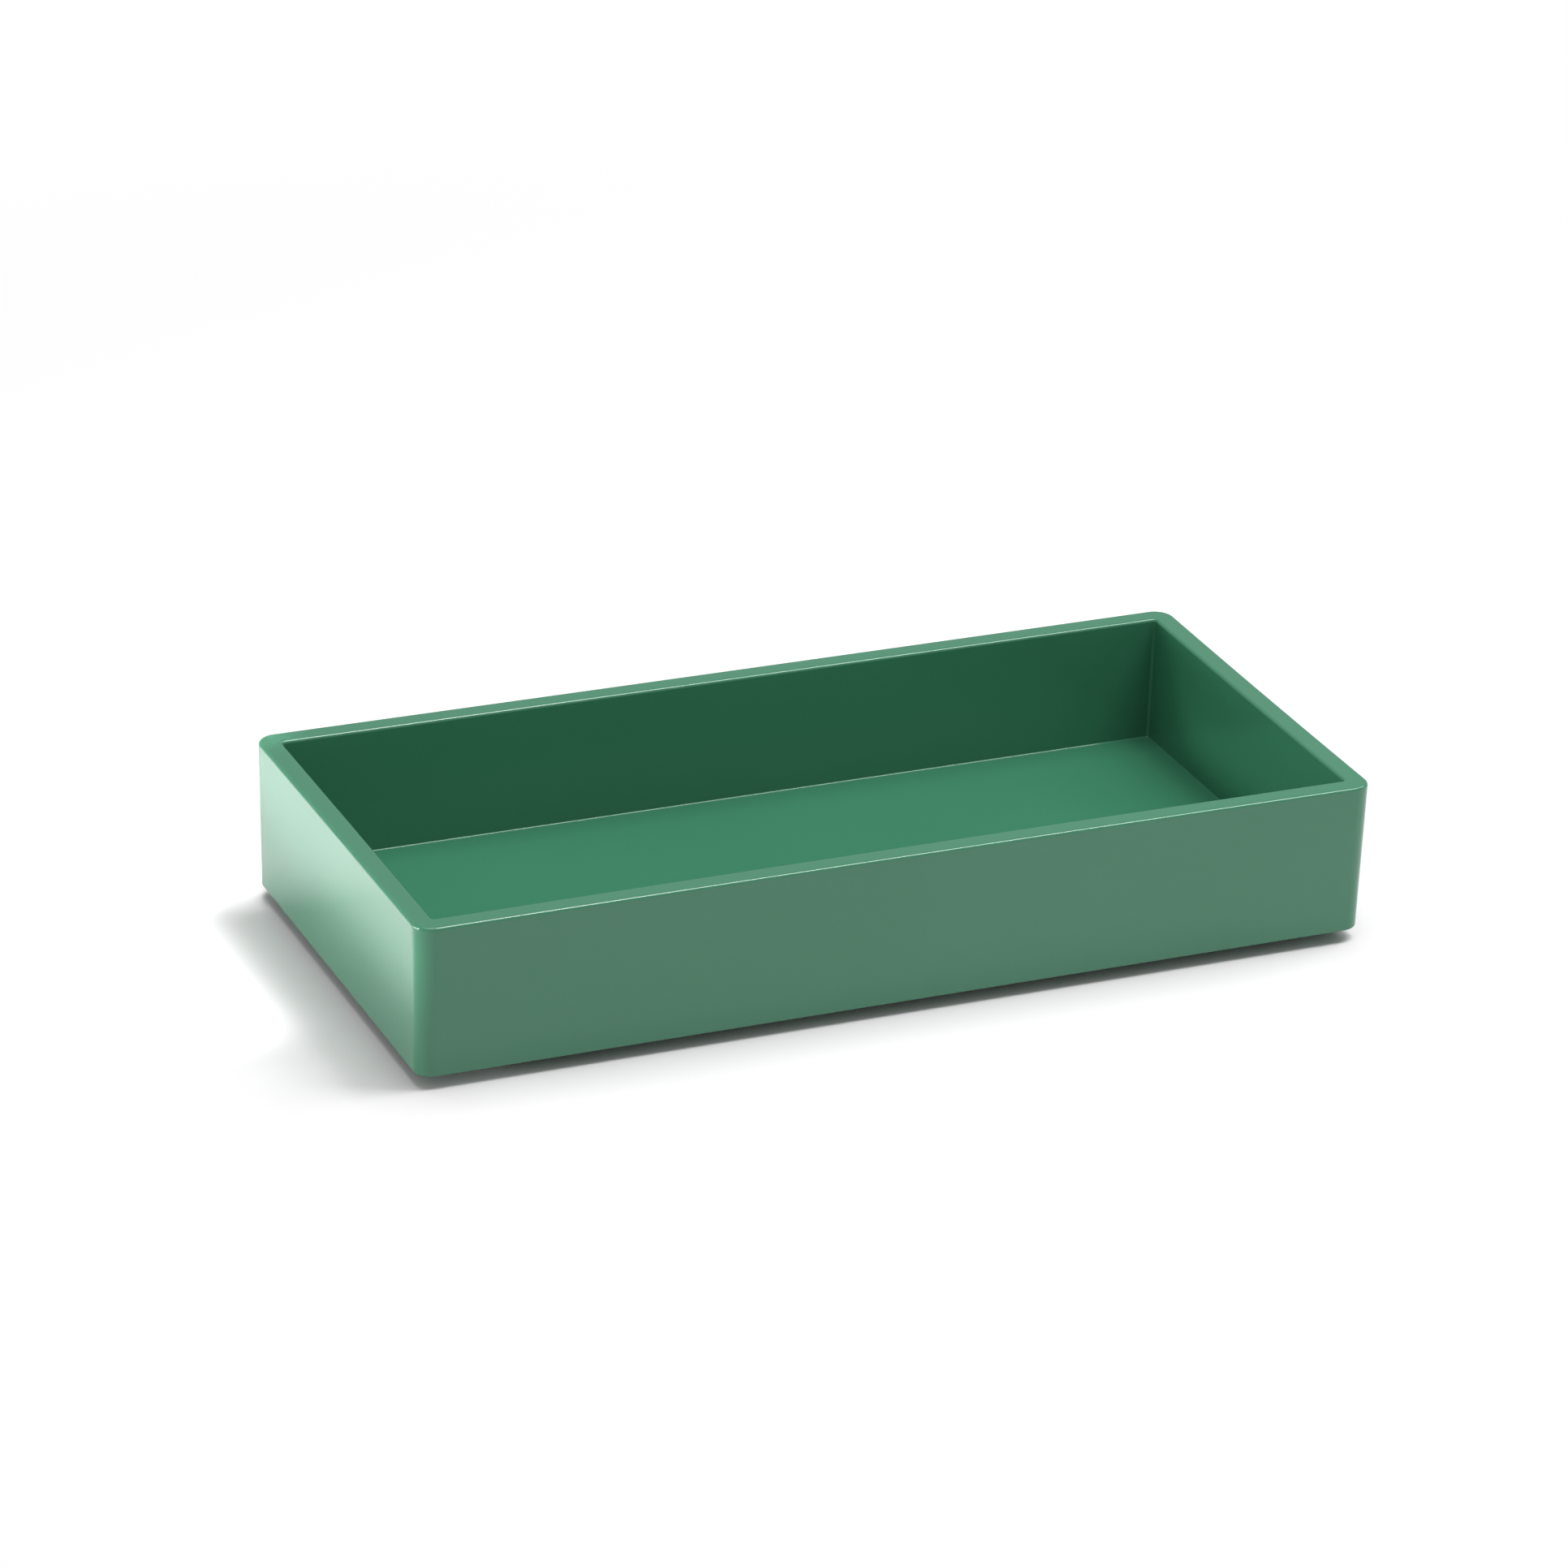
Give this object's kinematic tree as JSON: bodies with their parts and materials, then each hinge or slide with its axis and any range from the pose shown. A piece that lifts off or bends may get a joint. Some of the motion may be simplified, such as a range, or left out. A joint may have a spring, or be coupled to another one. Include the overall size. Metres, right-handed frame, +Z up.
{
  "type": "desk accessory tray",
  "caption": "Open rectangular desk tray with thick upright walls, a flat rim and rounded corners, standing on small non-slip feet.",
  "frame": {"origin": "centre of the tray's footprint, on the surface that the feet stand on", "axes": "+X along the length, +Y from the front wall to the back wall, +Z up out of the open top"},
  "size_m": [0.203, 0.0962, 0.0345],
  "materials": {
    "shell": "high gloss moulded plastic, sage green",
    "foot": "matt black rubber",
    "adhesive": "off-white double-sided adhesive film"
  },
  "bodies": {
    "root": {"tray_shell": "shell", "foot_front_left": "foot", "foot_front_right": "foot", "foot_back_right": "foot", "foot_back_left": "foot", "adhesive_front_left": "adhesive", "adhesive_front_right": "adhesive", "adhesive_back_right": "adhesive", "adhesive_back_left": "adhesive"}
  },
  "joints": []
}
